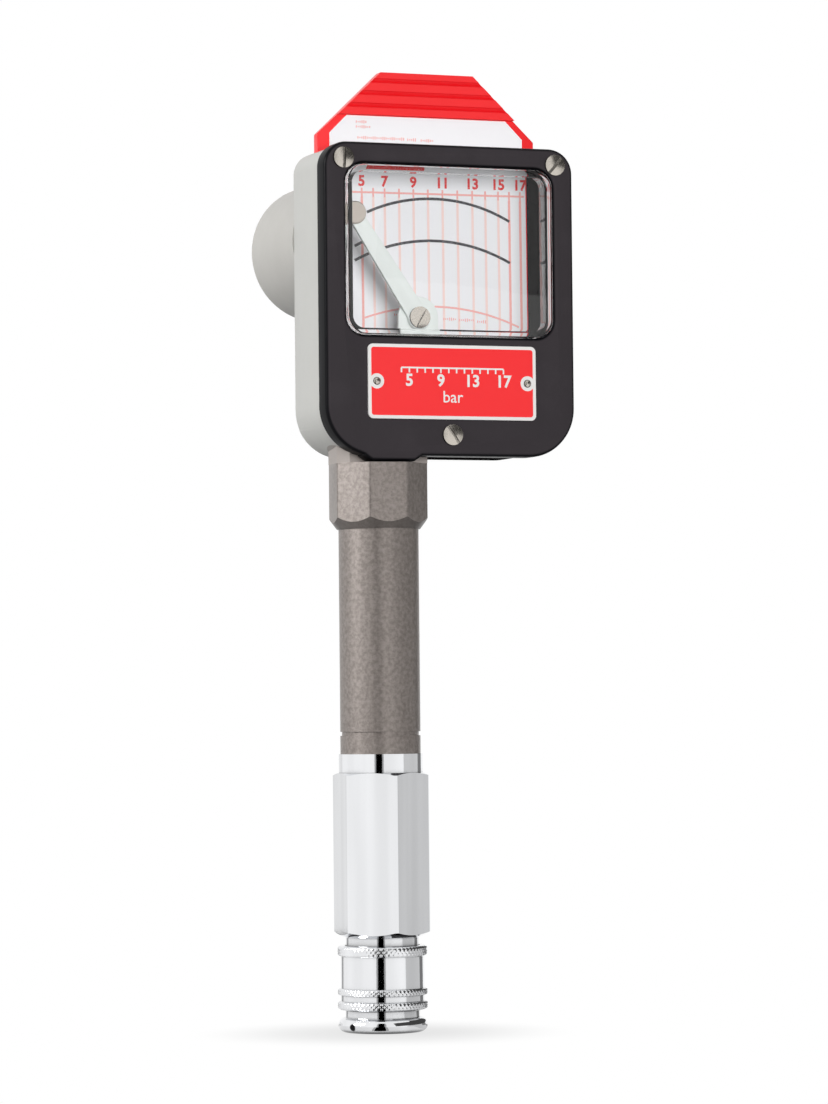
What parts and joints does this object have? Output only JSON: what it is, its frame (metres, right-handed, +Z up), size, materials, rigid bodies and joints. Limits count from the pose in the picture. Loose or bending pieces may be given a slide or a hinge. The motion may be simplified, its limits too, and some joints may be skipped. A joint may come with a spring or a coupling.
{
  "type": "recording compression tester gauge",
  "caption": "Recording compression tester: cast head with window, card and scribing pointer on a hollow stem with a measuring piston, check valve and sleeve quick coupler.",
  "frame": {"origin": "centre of the coupler's mouth, where the adapter enters", "axes": "+Z up the stem, -Y out of the window, +X to the right seen from the front"},
  "size_m": [0.0805, 0.0703, 0.2907],
  "materials": {
    "cast_grey": "satin grey enamel on a casting",
    "drum_grey": "satin grey enamel on a turned can",
    "stem_grey": "speckled grey-brown enamel",
    "black_enamel": "smooth black enamel",
    "clear_plastic": "clear moulded plastic",
    "bright_steel": "bright nickelled steel",
    "red_enamel": "printed red enamel with a pale border",
    "red_plastic": "moulded red plastic",
    "card_paper": "coated recording card",
    "spring_steel": "oiled spring steel",
    "pale_metal": "matt pale metal strip",
    "stylus_metal": "turned metal",
    "brass": "turned brass",
    "black_rubber": "moulded rubber",
    "fibre": "vulcanised fibre",
    "chrome": "polished chrome"
  },
  "bodies": {
    "frame": {"housing": "cast_grey", "drum": "drum_grey", "front_cover": "black_enamel", "lens": "clear_plastic", "cover_screws": "bright_steel", "nameplate": "red_enamel", "nameplate_rivets": "bright_steel", "holder_spring": "spring_steel", "shaft_bush": "brass", "bridge": "pale_metal", "bridge_screws": "bright_steel", "cylinder_liner": "brass", "measuring_spring": "spring_steel", "guide_bush": "brass", "stem": "stem_grey", "stem_gasket": "fibre", "connector": "chrome", "valve_seat": "brass", "valve_spring": "spring_steel", "valve_retainer": "brass", "sleeve_spring": "spring_steel", "locking_balls": "bright_steel", "socket_seal": "black_rubber", "end_ring": "chrome"},
    "piston_group": {"rack": "bright_steel", "piston_rod": "bright_steel", "piston": "brass", "piston_seal": "black_rubber"},
    "pointer_group": {"pointer": "pale_metal", "pointer_hub": "pale_metal", "arm_screw": "bright_steel", "stylus": "stylus_metal", "pivot_screw": "bright_steel", "pinion_shaft": "brass"},
    "card_group": {"card_holder": "red_plastic", "recording_card": "card_paper"},
    "sleeve_group": {"sleeve": "chrome"},
    "valve_group": {"valve_poppet": "brass"}
  },
  "joints": [
    {"name": "piston_slide", "type": "slide", "parent": "frame", "child": "piston_group", "axis": [0, 0, 1], "range_m": [0, 0.0064], "stiffness_N_per_m": 1500, "springref_m": -0.001, "deforming": ["measuring_spring"]},
    {"name": "pointer_turn", "type": "hinge", "parent": "frame", "child": "pointer_group", "pos_m": [0.0206, -0.001, 0.2007], "axis": [0, 1, 0], "range_deg": [0, 61.2]},
    {"name": "card_slide", "type": "slide", "parent": "frame", "child": "card_group", "axis": [0, 0, 1], "range_m": [0, 0.05]},
    {"name": "sleeve_slide", "type": "slide", "parent": "frame", "child": "sleeve_group", "axis": [0, 0, 1], "range_m": [0, 0.002], "stiffness_N_per_m": 1500, "springref_m": -0.002, "deforming": ["sleeve_spring"]},
    {"name": "valve_lift", "type": "slide", "parent": "frame", "child": "valve_group", "axis": [0, 0, 1], "range_m": [0, 0.0015], "stiffness_N_per_m": 60, "springref_m": -0.001, "deforming": ["valve_spring"]}
  ],
  "couplings": [
    {"joint": "pointer_turn", "follows": "piston_slide", "rad_per_m": 166.67}
  ]
}
